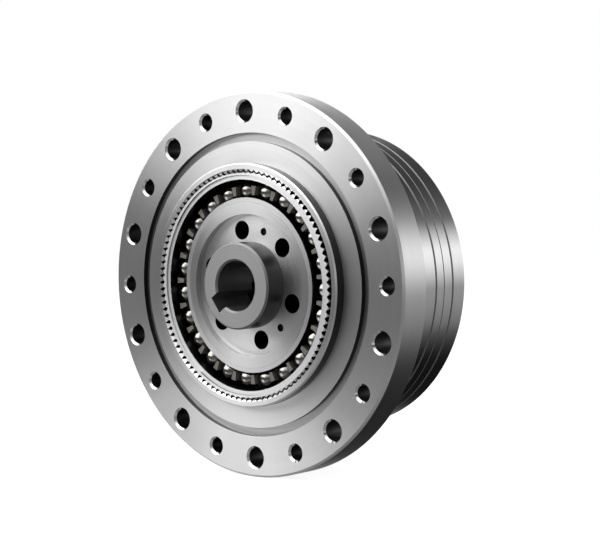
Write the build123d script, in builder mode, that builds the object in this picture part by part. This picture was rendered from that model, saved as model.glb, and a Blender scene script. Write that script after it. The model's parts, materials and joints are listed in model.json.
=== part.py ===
# Strain wave gear unit with a cup flexspline, a bolted flange and a crossed roller output bearing.
#
# Frame: millimetres, +Z up, and the gear axis along Y. The origin is the centre of the flange's
# front face. The input side faces -Y, and a depth is measured from that face towards +Y, so what
# stands out in front of the flange has a negative depth. Angles turn anticlockwise from +X, seen
# from the front.

from build123d import *
import os
from math import cos, pi, radians, sin, sqrt, tan

os.makedirs("parts", exist_ok=True)

# Flange and barrel of the housing
flange_t = 10.0
flange_edge = 0.6
rim_margin = 5.5
bolt_margin = 5.0
bolt_count = 10
bolt_hole_d = 5.5
tapped_hole_d = 4.2
hole_edge = 0.5
top_angle = 90.0
seal_groove_margin = 5.95
seal_groove_w = 2.4
seal_groove_depth = 1.6
boss_wall = 1.6
boss_h = 3.2
boss_edge = 0.4
spigot_wall = 2.5
spigot_l = 2.4
register_depth = 0.5
register_relief = 0.5

# Lengths of the barrel's rings, from the flange backwards
race_gap = 2.0
front_race_l = 3.7
rear_race_l = 4.0
seal_carrier_l = 6.4
seam_edge = 0.4
split_edge = 0.2
barrel_edge = 0.9

# Teeth
flexspline_teeth = 100
tooth_difference = 2
module = 0.6226
tooth_h = 0.85
tooth_engagement = 0.70
flank_angle = 38.0
tooth_backlash = 0.06
tip_clearance = 0.125
wave = 0.42
wave_angle = 101.0
circular_tooth_l = 12.6
flexspline_tooth_l = 12.0
flexspline_setback = 0.2
bore_relief = 1.0

# Flexspline cup
rim_t = 0.7
cup_wall = 0.5
cup_flare = 0.2
taper_l = 11.0
diaphragm_t = 0.7
cup_straight_l = 3.9
cup_corner_r = 2.0
hub_boss_d = 37.0
hub_boss_t = 4.0
hub_boss_lead = 1.5
hub_boss_bore_d = 20.0

# Wave generator: plug, hub and thin ball bearing
plug_front = 1.0
plug_rim_t = 2.8
plug_inset = 0.05
plug_lip_h = 0.8
plug_lip_t = 1.6
hub_d = 24.0
hub_front = 6.0
hub_tail = 1.8
hub_edge = 0.5
input_bore_d = 14.0
keyway_w = 5.0
keyway_reach = 9.3
keyway_angle = 215.0
web_setback = 0.8
web_t = 4.0
web_hole_d = 5.3
web_hole_margin = 0.85
web_hole_count = 6
web_hole_angle = 41.0
plug_screw_d = 2.1
plug_screw_count = 3
plug_screw_angle = 71.0
plug_screw_head_d = 4.5
plug_screw_head_h = 1.5
plug_screw_reveal = 0.8
plug_socket_w = 1.5
plug_socket_depth = 0.9
ball_d = 5.5
ball_count = 23
ball_angle = 13.0
ball_depth = 2.3
inner_race_w = 6.5
inner_race_floor_t = 0.43
inner_shoulder_margin = 2.35
outer_race_front = 2.55
outer_race_w = 9.0
outer_race_floor_t = 0.53
outer_shoulder_margin = 2.6
cage_t = 2.5
cage_front = 0.6
cage_web_t = 1.0

# Crossed roller bearing
roller_d = 5.0
roller_l = 4.75
roller_count = 24
roller_inset = 0.6
race_land_gap = 0.35
spacer_d = 4.2
spacer_gap = 0.35

# Output flange
output_reach = 3.5
output_front_margin = 5.5
inner_race_lead = 3.8
seal_land_inset = 3.5
output_bolt_margin = 7.0
output_bolt_count = 8
output_bolt_angle = 22.5
output_hole_d = 6.8
output_hole_depth = 12.0
output_pilot_d = 20.0
output_pilot_l = 5.0
output_bore_d = 14.0
output_edge = 0.6
cap_l = 3.0
cap_t = 1.0
cap_setback = 0.5

# Clamping of the flexspline
clamp_ring_t = 2.5
clamp_bolt_count = 6
clamp_bolt_angle = 15.0
clamp_bolt_grip = 7.5
dowel_d = 3.0
dowel_count = 3
dowel_l = 10.0

# Socket head screws, the same size on the barrel and on the flexspline
screw_d = 4.0
screw_head_d = 7.0
screw_head_h = 4.0
screw_socket_w = 3.0
screw_socket_depth = 2.0

# Screws, pins and seals of the housing
tie_screw_offset = 7.0
tie_screw_margin = 4.5
tie_screw_count = 6
tie_screw_grip = 6.0
tie_screw_angle = 18.0
tie_thread_l = 7.0
tie_head_depth = 4.2
pin_count = 2
pin_l = 11.0
seal_ring_h = 5.5
seal_shoulder_h = 1.5
seal_shoulder_t = 1.2
seal_w = 4.6
seal_case_t = 0.9
lip_w = 1.0
seal_ring_w = 1.3
seal_ring_t = 0.9

# Clearances
running_fit = 0.05
slip_fit = 0.02
thread_fit = 0.03
bolt_clearance = 0.25
track_clearance = 0.08
cage_clearance = 0.175
roller_clearance = 0.04

# Depths that several pieces share, from the front backwards
flexspline_front = flexspline_setback - boss_h
flexspline_teeth_end = flexspline_front + flexspline_tooth_l
taper_end = flexspline_teeth_end + taper_l
diaphragm_depth = taper_end + cup_straight_l
hub_boss_front = diaphragm_depth - hub_boss_lead
hub_boss_end = hub_boss_front + hub_boss_t
clamp_ring_front = hub_boss_front - clamp_ring_t
web_end = web_setback + web_t
housing_start = flange_t - register_depth
front_race_start = hub_boss_end + race_gap
split_depth = front_race_start + front_race_l
output_step_depth = split_depth - inner_race_lead
carrier_start = split_depth + rear_race_l
barrel_end = carrier_start + seal_carrier_l
output_face_depth = barrel_end + output_reach

# Radii of the tooth rings
flexspline_pitch_r = module * flexspline_teeth / 2
flexspline_tip_r = flexspline_pitch_r + tooth_h / 2
flexspline_root_r = flexspline_tip_r - tooth_h
circular_tip_r = flexspline_tip_r + wave - tooth_engagement
circular_root_r = flexspline_tip_r + wave + tip_clearance
rim_bore_r = flexspline_root_r - rim_t

# Radii of the wave generator, from the flexspline's rim inwards
track_r = ball_d / 2 + wave + track_clearance
outer_ring_r = rim_bore_r - slip_fit
ball_circle_r = outer_ring_r - outer_race_floor_t - track_r
plug_rim_r = ball_circle_r - track_r - inner_race_floor_t - slip_fit
recess_r = plug_rim_r - plug_rim_t
hub_r = hub_d / 2
web_circle_r = hub_r + web_hole_margin + web_hole_d / 2

# Radii of the cup's boss and of the output flange
hub_boss_r = hub_boss_d / 2
hub_boss_bore_r = hub_boss_bore_d / 2
clamp_circle_r = (hub_boss_r + hub_boss_bore_r) / 2

# Radii of the housing, from the teeth outwards
boss_r = circular_root_r + boss_wall
spline_bore_r = circular_root_r + bore_relief
spigot_r = spline_bore_r + spigot_wall
seal_groove_r = boss_r + seal_groove_margin
roller_circle_r = circular_root_r - roller_inset
tie_circle_r = roller_circle_r + tie_screw_offset
barrel_r = tie_circle_r + tie_screw_margin
bolt_circle_r = barrel_r + bolt_margin
flange_r = bolt_circle_r + rim_margin
output_land_r = roller_circle_r - seal_land_inset
output_bolt_circle_r = output_land_r - output_bolt_margin
seal_bore_r = output_land_r + seal_ring_h
seal_shoulder_r = seal_bore_r - seal_shoulder_h


def at(depth):
    """Plane across the axis at a depth behind the flange's front face, seen from the front."""
    return Plane.XZ.offset(-depth)


def waved(radius):
    """Half axes of a round piece once the wave generator has bent it oval."""
    return radius + wave, radius - wave


def spot(radius, angle, depth):
    """Point on a circle around the gear axis."""
    return (radius * cos(radians(angle)), depth, radius * sin(radians(angle)))


def tooth_corner(centre_r, centre_angle, tilt, height, side):
    """Corner of a tooth, from its height above and its distance beside the tooth's middle."""
    axis = radians(centre_angle + tilt)
    x = centre_r * cos(radians(centre_angle)) + height * cos(axis) - side * sin(axis)
    y = centre_r * sin(radians(centre_angle)) + height * sin(axis) + side * cos(axis)
    return (x, y)


def tooth_halves():
    """Half widths of a flexspline tooth at its tip and at its root."""
    middle = pi * module / 4 - tooth_backlash / 2
    slope = tooth_h / 2 * tan(radians(flank_angle))
    return middle - slope, middle + slope


def flexspline_outline():
    """Corners of the flexspline's teeth, carried along the oval by the wave."""
    tip_half, root_half = tooth_halves()
    corners = []
    for tooth in range(flexspline_teeth):
        turn = 360 * tooth / flexspline_teeth
        swing = sin(radians(2 * turn)) * wave / flexspline_pitch_r * 180 / pi
        centre_r = flexspline_pitch_r + wave * cos(radians(2 * turn))
        centre_angle = wave_angle + turn - swing / 2
        for height, side in (
            (-tooth_h / 2, -root_half),
            (tooth_h / 2, -tip_half),
            (tooth_h / 2, tip_half),
            (-tooth_h / 2, root_half),
        ):
            corners.append(tooth_corner(centre_r, centre_angle, 2 * swing, height, side))
    return corners


def circular_outline():
    """Corners of the tooth spaces of the circular spline, which the flexspline's teeth enter."""
    spaces = flexspline_teeth + tooth_difference
    slope = tan(radians(flank_angle))
    tooth_middle_r = flexspline_pitch_r + wave
    middle_half = pi * module / 4
    tip_half = middle_half - (circular_tip_r - tooth_middle_r) * slope
    root_half = middle_half - (circular_root_r - tooth_middle_r) * slope
    corners = []
    for space in range(spaces):
        angle = wave_angle + 360 * space / spaces
        for radius, side in (
            (circular_tip_r, -tip_half),
            (circular_root_r, -root_half),
            (circular_root_r, root_half),
            (circular_tip_r, tip_half),
        ):
            corners.append(tooth_corner(radius, angle, 0, 0, side))
    return corners


def cut_holes(depth, circle_r, count, start, diameter, length):
    """Cut a circle of holes that run backwards from a depth."""
    with BuildSketch(at(depth)) as holes:
        with PolarLocations(circle_r, count, start_angle=start):
            Circle(diameter / 2)
    extrude(holes.sketch, amount=-length, mode=Mode.SUBTRACT)


def oval(depth):
    """Plane across the axis whose x direction is the long axis of the wave generator's oval."""
    return Plane(origin=(0, depth, 0), x_dir=spot(1, wave_angle, 0), z_dir=(0, -1, 0))


def turn(profile):
    """Turn a profile of (radius, depth) corners into a ring around the gear axis."""
    with BuildSketch(Plane.XY) as section:
        with BuildLine():
            Polyline(profile, close=True)
        make_face()
    revolve(section.sketch, axis=Axis.Y)


def add_round_bars(depth, circle_r, count, start, diameter, length):
    """Add a circle of round bars that run backwards from a depth."""
    with BuildSketch(at(depth)) as bars:
        with PolarLocations(circle_r, count, start_angle=start):
            Circle(diameter / 2)
    extrude(bars.sketch, amount=-length)


def write(part, name):
    """Label a finished piece and write its STEP file."""
    part.label = name
    export_step(part, f"parts/{name}.step")


# Circular spline: flange ring with the internal teeth
circular_teeth_end = circular_tooth_l - boss_h
seal_ring_start = flange_t + (spigot_l - seal_ring_w) / 2
seal_ring_floor_r = spigot_r - seal_ring_t

with BuildPart() as circular_spline:
    with BuildSketch(at(0)):
        Circle(flange_r)
    extrude(amount=-flange_t)
    chamfer(edges().filter_by(GeomType.CIRCLE), flange_edge)
    with BuildSketch(at(-boss_h)):
        Circle(boss_r)
    extrude(amount=-boss_h)
    chamfer(edges().filter_by(GeomType.CIRCLE).sort_by(Axis.Y)[0], boss_edge)
    with BuildSketch(at(flange_t)):
        Circle(spigot_r)
    extrude(amount=-spigot_l)
    with BuildSketch(at(circular_teeth_end)):
        Circle(spline_bore_r)
    extrude(amount=-(flange_t + spigot_l - circular_teeth_end), mode=Mode.SUBTRACT)
    with BuildSketch(at(0)):
        Circle(seal_groove_r + seal_groove_w)
        Circle(seal_groove_r, mode=Mode.SUBTRACT)
    extrude(amount=-seal_groove_depth, mode=Mode.SUBTRACT)
    with BuildSketch(at(housing_start)):
        Circle(barrel_r + slip_fit)
        Circle(spigot_r, mode=Mode.SUBTRACT)
    extrude(amount=-register_depth, mode=Mode.SUBTRACT)
    with BuildSketch(at(seal_ring_start)):
        Circle(spigot_r)
        Circle(seal_ring_floor_r, mode=Mode.SUBTRACT)
    extrude(amount=-seal_ring_w, mode=Mode.SUBTRACT)
    with Locations(at(0)):
        with PolarLocations(bolt_circle_r, bolt_count, start_angle=top_angle):
            CounterSinkHole(bolt_hole_d / 2, bolt_hole_d / 2 + hole_edge, flange_t)
        with PolarLocations(bolt_circle_r, bolt_count, start_angle=top_angle + 180 / bolt_count):
            CounterSinkHole(tapped_hole_d / 2, tapped_hole_d / 2 + hole_edge, flange_t)
    cut_holes(
        flange_t - tie_thread_l,
        tie_circle_r,
        tie_screw_count,
        tie_screw_angle,
        screw_d + 2 * thread_fit,
        tie_thread_l,
    )
    with BuildSketch(at(-boss_h)):
        with BuildLine():
            Polyline(circular_outline(), close=True)
        make_face()
    extrude(amount=-circular_tooth_l, mode=Mode.SUBTRACT)
write(circular_spline.part, "circular_spline")


# Seal ring on the spigot, between the flange and the barrel
with BuildPart() as housing_seal_ring:
    with BuildSketch(at(seal_ring_start + slip_fit)):
        Circle(spigot_r)
        Circle(seal_ring_floor_r + slip_fit, mode=Mode.SUBTRACT)
    extrude(amount=-(seal_ring_w - 2 * slip_fit))
write(housing_seal_ring.part, "housing_seal_ring")


# Bearing housing: front stretch of the barrel, centred on the circular spline's spigot
tie_hole_d = screw_d + 2 * bolt_clearance
pin_start = carrier_start - pin_l - slip_fit
pin_angle = tie_screw_angle + 180 / tie_screw_count

with BuildPart() as bearing_housing:
    turn(
        [
            (spigot_r + slip_fit, housing_start),
            (barrel_r - register_relief, housing_start),
            (barrel_r - register_relief, flange_t),
            (barrel_r, flange_t),
            (barrel_r, front_race_start - seam_edge),
            (barrel_r - seam_edge, front_race_start),
            (spline_bore_r, front_race_start),
            (spline_bore_r, flange_t + spigot_l + slip_fit),
            (spigot_r + slip_fit, flange_t + spigot_l + slip_fit),
        ]
    )
    cut_holes(
        housing_start,
        tie_circle_r,
        tie_screw_count,
        tie_screw_angle,
        tie_hole_d,
        front_race_start - housing_start,
    )
    cut_holes(
        pin_start - slip_fit,
        tie_circle_r,
        pin_count,
        pin_angle,
        dowel_d + 2 * slip_fit,
        front_race_start - pin_start + slip_fit,
    )
write(bearing_housing.part, "bearing_housing")


# Split outer ring of the crossed roller bearing: two halves that meet in the middle of the race
roller_reach = (roller_d / 2 + roller_clearance) * sqrt(2)
outer_land_r = roller_circle_r + race_land_gap
outer_apex_r = roller_circle_r + roller_reach
inner_land_r = roller_circle_r - race_land_gap
inner_apex_r = roller_circle_r - roller_reach
race_half_w = roller_reach - race_land_gap

with BuildPart() as front_race_ring:
    turn(
        [
            (outer_land_r, front_race_start),
            (barrel_r - seam_edge, front_race_start),
            (barrel_r, front_race_start + seam_edge),
            (barrel_r, split_depth - split_edge),
            (barrel_r - split_edge, split_depth),
            (outer_apex_r, split_depth),
            (outer_land_r, split_depth - race_half_w),
        ]
    )
    cut_holes(
        front_race_start, tie_circle_r, tie_screw_count, tie_screw_angle, tie_hole_d, front_race_l
    )
    cut_holes(
        front_race_start, tie_circle_r, pin_count, pin_angle, dowel_d + 2 * slip_fit, front_race_l
    )
write(front_race_ring.part, "front_race_ring")

with BuildPart() as rear_race_ring:
    turn(
        [
            (outer_land_r, carrier_start),
            (barrel_r - seam_edge, carrier_start),
            (barrel_r, carrier_start - seam_edge),
            (barrel_r, split_depth + split_edge),
            (barrel_r - split_edge, split_depth),
            (outer_apex_r, split_depth),
            (outer_land_r, split_depth + race_half_w),
        ]
    )
    cut_holes(split_depth, tie_circle_r, tie_screw_count, tie_screw_angle, tie_hole_d, rear_race_l)
    cut_holes(
        split_depth, tie_circle_r, pin_count, pin_angle, dowel_d + 2 * slip_fit, rear_race_l
    )
write(rear_race_ring.part, "rear_race_ring")

with BuildPart() as housing_pins:
    add_round_bars(pin_start, tie_circle_r, pin_count, pin_angle, dowel_d, pin_l)
write(housing_pins.part, "housing_pins")


# Seal carrier: rear end ring of the barrel
seal_front = carrier_start + seal_shoulder_t
tie_head_seat = barrel_end - tie_head_depth

with BuildPart() as seal_carrier:
    turn(
        [
            (seal_shoulder_r, carrier_start),
            (barrel_r - seam_edge, carrier_start),
            (barrel_r, carrier_start + seam_edge),
            (barrel_r, barrel_end - barrel_edge),
            (barrel_r - barrel_edge, barrel_end),
            (seal_bore_r, barrel_end),
            (seal_bore_r, seal_front),
            (seal_shoulder_r, seal_front),
        ]
    )
    cut_holes(
        carrier_start, tie_circle_r, tie_screw_count, tie_screw_angle, tie_hole_d, seal_carrier_l
    )
    cut_holes(
        tie_head_seat,
        tie_circle_r,
        tie_screw_count,
        tie_screw_angle,
        screw_head_d + 2 * bolt_clearance,
        tie_head_depth,
    )
write(seal_carrier.part, "seal_carrier")


# Tie screws: they clamp the barrel's rings on the circular spline
tie_screw_end = flange_t - tie_screw_grip

with BuildPart() as tie_screws:
    add_round_bars(
        tie_screw_end,
        tie_circle_r,
        tie_screw_count,
        tie_screw_angle,
        screw_d,
        tie_head_seat - tie_screw_end,
    )
    add_round_bars(
        tie_head_seat,
        tie_circle_r,
        tie_screw_count,
        tie_screw_angle,
        screw_head_d,
        screw_head_h,
    )
    with BuildSketch(at(tie_head_seat + screw_head_h - screw_socket_depth)):
        with PolarLocations(tie_circle_r, tie_screw_count, start_angle=tie_screw_angle):
            RegularPolygon(screw_socket_w / 2, 6, major_radius=False)
    extrude(amount=-screw_socket_depth, mode=Mode.SUBTRACT)
write(tie_screws.part, "tie_screws")


# Output seal: a shaft seal pressed in the carrier, with its lip on the output flange
seal_r = seal_bore_r - slip_fit
seal_start = seal_front + slip_fit
seal_end = seal_start + seal_w
lip_r = output_land_r + running_fit

with BuildPart() as output_seal:
    turn(
        [
            (seal_r, seal_start),
            (seal_r, seal_end),
            (lip_r + lip_w / 2, seal_end),
            (lip_r + lip_w / 2, seal_start + 2 * lip_w),
            (lip_r, seal_start + 3 / 2 * lip_w),
            (lip_r + lip_w / 2, seal_start + lip_w),
            (lip_r + 3 / 2 * lip_w, seal_start + lip_w),
            (lip_r + 3 / 2 * lip_w, seal_end - seal_case_t),
            (seal_r - seal_case_t, seal_end - seal_case_t),
            (seal_r - seal_case_t, seal_start),
        ]
    )
write(output_seal.part, "output_seal")


# Flexspline: thin cup with the external teeth on its oval rim
cup_r = rim_bore_r + cup_flare
clamp_hole_d = screw_d + 2 * bolt_clearance
dowel_hole_d = dowel_d + 2 * slip_fit
dowel_angle = clamp_bolt_angle + 180 / clamp_bolt_count

with BuildPart() as flexspline:
    with BuildSketch(Plane.XY):
        with BuildLine():
            Polyline(
                [
                    (cup_r, taper_end),
                    (cup_r, diaphragm_depth),
                    (hub_boss_r, diaphragm_depth),
                    (hub_boss_r, hub_boss_end),
                    (hub_boss_bore_r, hub_boss_end),
                    (hub_boss_bore_r, hub_boss_front),
                    (hub_boss_r, hub_boss_front),
                    (hub_boss_r, diaphragm_depth - diaphragm_t),
                    (cup_r - cup_wall, diaphragm_depth - diaphragm_t),
                    (cup_r - cup_wall, taper_end),
                ],
                close=True,
            )
        make_face()
        outer_corner = vertices().sort_by_distance((cup_r, diaphragm_depth))[0]
        fillet(outer_corner, cup_corner_r)
        inner_corner = vertices().sort_by_distance(
            (cup_r - cup_wall, diaphragm_depth - diaphragm_t)
        )[0]
        fillet(inner_corner, cup_corner_r - cup_wall)
    revolve(axis=Axis.Y)
    cut_holes(
        hub_boss_front,
        clamp_circle_r,
        clamp_bolt_count,
        clamp_bolt_angle,
        clamp_hole_d,
        hub_boss_t,
    )
    cut_holes(hub_boss_front, clamp_circle_r, dowel_count, dowel_angle, dowel_hole_d, hub_boss_t)
    with BuildSketch(oval(flexspline_teeth_end)):
        Ellipse(*waved(rim_bore_r + cup_wall))
    with BuildSketch(oval(taper_end)):
        Circle(cup_r)
    loft()
    with BuildSketch(oval(flexspline_teeth_end)):
        Ellipse(*waved(rim_bore_r))
    with BuildSketch(oval(taper_end)):
        Circle(cup_r - cup_wall)
    loft(mode=Mode.SUBTRACT)
    with BuildSketch(at(flexspline_front)):
        with BuildLine():
            Polyline(flexspline_outline(), close=True)
        make_face()
        Ellipse(*waved(rim_bore_r), rotation=wave_angle, mode=Mode.SUBTRACT)
    extrude(amount=-flexspline_tooth_l)
write(flexspline.part, "flexspline")


# Ball track: the hollow that the balls run in, swept along the oval
with BuildPart() as ball_track:
    with BuildLine(oval(ball_depth)) as track_path:
        EllipticalCenterArc((0, 0), *waved(ball_circle_r), arc_size=360)
    with BuildSketch(Plane(origin=track_path.line @ 0, z_dir=track_path.line % 0)):
        Circle(track_r)
    sweep(path=track_path.line)


# Thin ball bearing of the wave generator, bent oval by the plug
inner_ring_front = plug_front - plug_inset

with BuildPart() as wave_bearing_outer_ring:
    with BuildSketch(oval(-outer_race_front)):
        Ellipse(*waved(outer_ring_r))
        Ellipse(*waved(ball_circle_r + outer_shoulder_margin), mode=Mode.SUBTRACT)
    extrude(amount=-outer_race_w)
    add(ball_track.part, mode=Mode.SUBTRACT)
write(wave_bearing_outer_ring.part, "wave_bearing_outer_ring")

with BuildPart() as wave_bearing_inner_ring:
    with BuildSketch(oval(-inner_ring_front)):
        Ellipse(*waved(ball_circle_r - inner_shoulder_margin))
        Ellipse(*waved(plug_rim_r + slip_fit), mode=Mode.SUBTRACT)
    extrude(amount=-inner_race_w)
    add(ball_track.part, mode=Mode.SUBTRACT)
write(wave_bearing_inner_ring.part, "wave_bearing_inner_ring")

with BuildPart() as wave_bearing_balls:
    ball_spots = [
        spot(ball_circle_r, ball_angle + 360 * ball / ball_count, ball_depth)
        for ball in range(ball_count)
    ]
    with Locations(*ball_spots):
        Sphere(ball_d / 2)
write(wave_bearing_balls.part, "wave_bearing_balls")


# Ball cage: a comb with one open pocket for each ball
pocket_end = ball_depth + ball_d / 2 + cage_clearance

with BuildPart() as wave_bearing_cage:
    with BuildSketch(at(-cage_front)):
        Circle(ball_circle_r + cage_t / 2)
        Circle(ball_circle_r - cage_t / 2, mode=Mode.SUBTRACT)
    extrude(amount=-(cage_front + pocket_end + cage_web_t))
    with BuildSketch(at(-cage_front)):
        with PolarLocations(ball_circle_r, ball_count, start_angle=ball_angle):
            Rectangle(ball_d + 2 * cage_clearance, ball_d + 2 * cage_clearance)
    extrude(amount=-(cage_front + pocket_end), mode=Mode.SUBTRACT)
write(wave_bearing_cage.part, "wave_bearing_cage")


# Wave plug: the oval cam that bends the bearing, with a lip behind the inner ring
inner_ring_end = inner_race_w - inner_ring_front
plug_lip_start = inner_ring_end + slip_fit
plug_end = plug_lip_start + plug_lip_t

with BuildPart() as wave_plug:
    with BuildSketch(oval(-plug_front)):
        Ellipse(*waved(plug_rim_r))
    extrude(amount=-(plug_front + plug_end))
    with BuildSketch(oval(plug_lip_start)):
        Ellipse(*waved(plug_rim_r + plug_lip_h))
    extrude(amount=-plug_lip_t)
    with BuildSketch(at(-plug_front)):
        Circle(recess_r)
    extrude(amount=-(plug_front + web_end), mode=Mode.SUBTRACT)
    with BuildSketch(at(web_end)):
        Circle(hub_r + slip_fit)
    extrude(amount=-(plug_end - web_end), mode=Mode.SUBTRACT)
    cut_holes(
        web_end, web_circle_r, web_hole_count, web_hole_angle, web_hole_d, plug_end - web_end
    )
    cut_holes(
        web_end,
        web_circle_r,
        plug_screw_count,
        plug_screw_angle,
        plug_screw_d + 2 * bolt_clearance,
        plug_end - web_end,
    )
write(wave_plug.part, "wave_plug")


# Input hub: keyed bore for the motor shaft, on the web that drives the plug
hub_end = plug_end + hub_tail

with BuildPart() as input_hub:
    with BuildSketch(at(-hub_front)):
        Circle(hub_r)
    extrude(amount=-(hub_front + hub_end))
    chamfer(edges().filter_by(GeomType.CIRCLE), hub_edge)
    with BuildSketch(at(web_setback)):
        Circle(recess_r - slip_fit)
    extrude(amount=-(web_end - web_setback))
    cut_holes(-hub_front, 0, 1, 0, input_bore_d, hub_front + hub_end)
    chamfer(edges().filter_by(GeomType.CIRCLE).group_by(SortBy.RADIUS)[0], hub_edge)
    with BuildSketch(at(-hub_front)):
        with PolarLocations(keyway_reach / 2, 1, start_angle=keyway_angle):
            Rectangle(keyway_reach, keyway_w)
    extrude(amount=-(hub_front + hub_end), mode=Mode.SUBTRACT)
    cut_holes(
        web_setback, web_circle_r, web_hole_count, web_hole_angle, web_hole_d, web_end - web_setback
    )
    cut_holes(
        web_setback,
        web_circle_r,
        plug_screw_count,
        plug_screw_angle,
        plug_screw_d + 2 * thread_fit,
        web_end - web_setback,
    )
write(input_hub.part, "input_hub")

with BuildPart() as plug_screws:
    add_round_bars(
        web_setback + plug_screw_reveal,
        web_circle_r,
        plug_screw_count,
        plug_screw_angle,
        plug_screw_d,
        plug_end - web_setback - plug_screw_reveal,
    )
    add_round_bars(
        plug_end,
        web_circle_r,
        plug_screw_count,
        plug_screw_angle,
        plug_screw_head_d,
        plug_screw_head_h,
    )
    with BuildSketch(at(plug_end + plug_screw_head_h - plug_socket_depth)):
        with PolarLocations(web_circle_r, plug_screw_count, start_angle=plug_screw_angle):
            RegularPolygon(plug_socket_w / 2, 6, major_radius=False)
    extrude(amount=-plug_socket_depth, mode=Mode.SUBTRACT)
write(plug_screws.part, "plug_screws")


# Output flange: inner ring of the crossed roller bearing, with the output bolt pattern
output_bore_r = output_bore_d / 2
output_pilot_r = output_pilot_d / 2
output_spigot_r = hub_boss_bore_r - slip_fit
output_front_r = hub_boss_r + output_front_margin
clamp_thread_l = clamp_bolt_grip + bolt_clearance
dowel_start = hub_boss_end - dowel_l / 2

with BuildPart() as output_flange:
    turn(
        [
            (output_bore_r, hub_boss_front + slip_fit),
            (output_spigot_r, hub_boss_front + slip_fit),
            (output_spigot_r, hub_boss_end),
            (output_front_r, hub_boss_end),
            (output_front_r, output_step_depth),
            (inner_land_r, output_step_depth),
            (inner_land_r, split_depth - race_half_w),
            (inner_apex_r, split_depth),
            (inner_land_r, split_depth + race_half_w),
            (inner_land_r, carrier_start - bolt_clearance),
            (output_land_r, carrier_start - bolt_clearance),
            (output_land_r, output_face_depth - output_edge),
            (output_land_r - output_edge, output_face_depth),
            (output_pilot_r + output_edge, output_face_depth),
            (output_pilot_r, output_face_depth - output_edge),
            (output_pilot_r, output_face_depth - output_pilot_l),
            (output_bore_r, output_face_depth - output_pilot_l),
        ]
    )
    cut_holes(
        output_face_depth - output_hole_depth,
        output_bolt_circle_r,
        output_bolt_count,
        output_bolt_angle,
        output_hole_d,
        output_hole_depth,
    )
    cut_holes(
        hub_boss_end,
        clamp_circle_r,
        clamp_bolt_count,
        clamp_bolt_angle,
        screw_d + 2 * thread_fit,
        clamp_thread_l,
    )
    cut_holes(
        hub_boss_end,
        clamp_circle_r,
        dowel_count,
        dowel_angle,
        dowel_hole_d,
        dowel_start + dowel_l + slip_fit - hub_boss_end,
    )
write(output_flange.part, "output_flange")


# Sealing cap pressed in the bore of the output flange
cap_r = output_bore_r - slip_fit
cap_start = output_face_depth - output_pilot_l - cap_setback - cap_l

with BuildPart() as output_cap:
    turn(
        [
            (0, cap_start),
            (cap_r, cap_start),
            (cap_r, cap_start + cap_l),
            (cap_r - cap_t, cap_start + cap_l),
            (cap_r - cap_t, cap_start + cap_t),
            (0, cap_start + cap_t),
        ]
    )
write(output_cap.part, "output_cap")


# Clamp ring, bolts and dowels that fix the flexspline's boss to the output flange
with BuildPart() as flexspline_clamp_ring:
    with BuildSketch(at(clamp_ring_front)):
        Circle(hub_boss_r - slip_fit)
        Circle(hub_boss_bore_r, mode=Mode.SUBTRACT)
    extrude(amount=-clamp_ring_t)
    chamfer(edges().filter_by(GeomType.CIRCLE).sort_by(Axis.Y)[:2], hub_edge)
    cut_holes(
        clamp_ring_front,
        clamp_circle_r,
        clamp_bolt_count,
        clamp_bolt_angle,
        clamp_hole_d,
        clamp_ring_t,
    )
    cut_holes(
        clamp_ring_front, clamp_circle_r, dowel_count, dowel_angle, dowel_hole_d, clamp_ring_t
    )
write(flexspline_clamp_ring.part, "flexspline_clamp_ring")

with BuildPart() as flexspline_bolts:
    add_round_bars(
        clamp_ring_front - screw_head_h,
        clamp_circle_r,
        clamp_bolt_count,
        clamp_bolt_angle,
        screw_head_d,
        screw_head_h,
    )
    add_round_bars(
        clamp_ring_front,
        clamp_circle_r,
        clamp_bolt_count,
        clamp_bolt_angle,
        screw_d,
        hub_boss_end + clamp_bolt_grip - clamp_ring_front,
    )
    with BuildSketch(at(clamp_ring_front - screw_head_h)):
        with PolarLocations(clamp_circle_r, clamp_bolt_count, start_angle=clamp_bolt_angle):
            RegularPolygon(screw_socket_w / 2, 6, major_radius=False)
    extrude(amount=-screw_socket_depth, mode=Mode.SUBTRACT)
write(flexspline_bolts.part, "flexspline_bolts")

with BuildPart() as flexspline_dowels:
    add_round_bars(dowel_start, clamp_circle_r, dowel_count, dowel_angle, dowel_d, dowel_l)
write(flexspline_dowels.part, "flexspline_dowels")


# Crossed rollers, each one turned a right angle from the next, and the spacers between them
roller_pitch = 360 / roller_count
spacer_l = 2 * roller_circle_r * sin(radians(roller_pitch / 2)) - roller_d - 2 * spacer_gap


def roller_planes():
    """Planes across the rollers, leaning forwards and backwards in turn."""
    planes = []
    for roller in range(roller_count):
        angle = roller_pitch * roller
        lean = 1 if roller % 2 else -1
        outward = Vector(*spot(1, angle, 0))
        planes.append(
            Plane(
                origin=spot(roller_circle_r, angle, split_depth),
                z_dir=outward + Vector(0, lean, 0),
            )
        )
    return planes


def spacer_planes():
    """Planes across the spacers, which face along the circle of rollers."""
    planes = []
    for spacer in range(roller_count):
        angle = roller_pitch * (spacer + 1 / 2)
        planes.append(
            Plane(
                origin=spot(roller_circle_r, angle, split_depth),
                z_dir=spot(1, angle + 90, 0),
            )
        )
    return planes


with BuildPart() as cross_rollers:
    with Locations(*roller_planes()):
        Cylinder(roller_d / 2, roller_l)
write(cross_rollers.part, "cross_rollers")

with BuildPart() as roller_spacers:
    with Locations(*spacer_planes()):
        Cylinder(spacer_d / 2, spacer_l)
write(roller_spacers.part, "roller_spacers")
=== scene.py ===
# %% [markdown]
# # A strain wave gear in turned steel
#
# The real object is a flat, heavy gear unit. A flange with a ring of internal teeth faces us. In
# its mouth sit a thin toothed cup, a thin ball bearing, an oval plug and a keyed hub. A barrel of
# stacked steel rings stands behind the flange. Nearly all of it is turned on a lathe and ground,
# so the looks rest on two things: crisp edges, and highlights that fan out across the fine rings
# that the tool leaves.

import json
from math import cos, pi, radians, sin

import bpy
from mathutils import Matrix, Vector


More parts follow.
